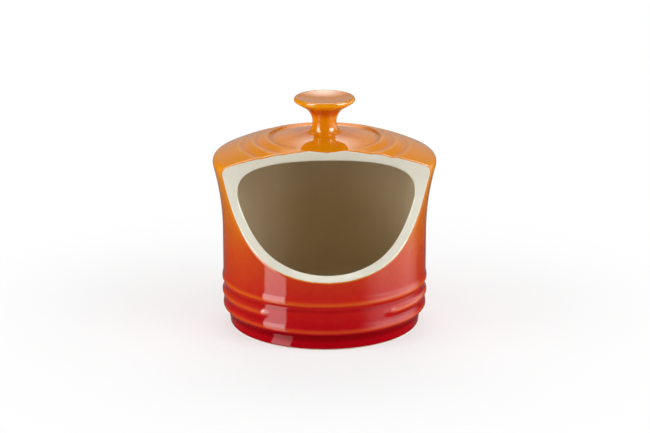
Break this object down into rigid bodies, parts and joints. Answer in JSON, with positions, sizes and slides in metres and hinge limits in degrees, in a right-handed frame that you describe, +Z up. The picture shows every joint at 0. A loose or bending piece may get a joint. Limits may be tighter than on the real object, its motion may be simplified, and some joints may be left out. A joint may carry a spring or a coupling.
{
  "type": "salt keeper",
  "caption": "Glazed stoneware salt keeper: ribbed drum on a recessed foot, ringed dome with a dished knob, and a wide scooped mouth with a rounded lip for taking salt by hand.",
  "frame": {"origin": "on the body's axis, in the plane of the foot ring, so the table is at z = 0", "axes": "+Z up along the axis to the knob, the mouth faces -Y, +X to the right of someone who looks into the mouth"},
  "size_m": [0.1204, 0.116, 0.1255],
  "materials": {
    "bare_clay": "matte",
    "lip_glaze": "gloss",
    "outer_glaze": "gloss",
    "inner_glaze": "gloss"
  },
  "bodies": {
    "root": {"pot": "bare_clay", "dome": "bare_clay", "knob": "bare_clay", "lip": "lip_glaze", "outer_glaze": "outer_glaze", "inner_glaze": "inner_glaze"}
  },
  "joints": []
}
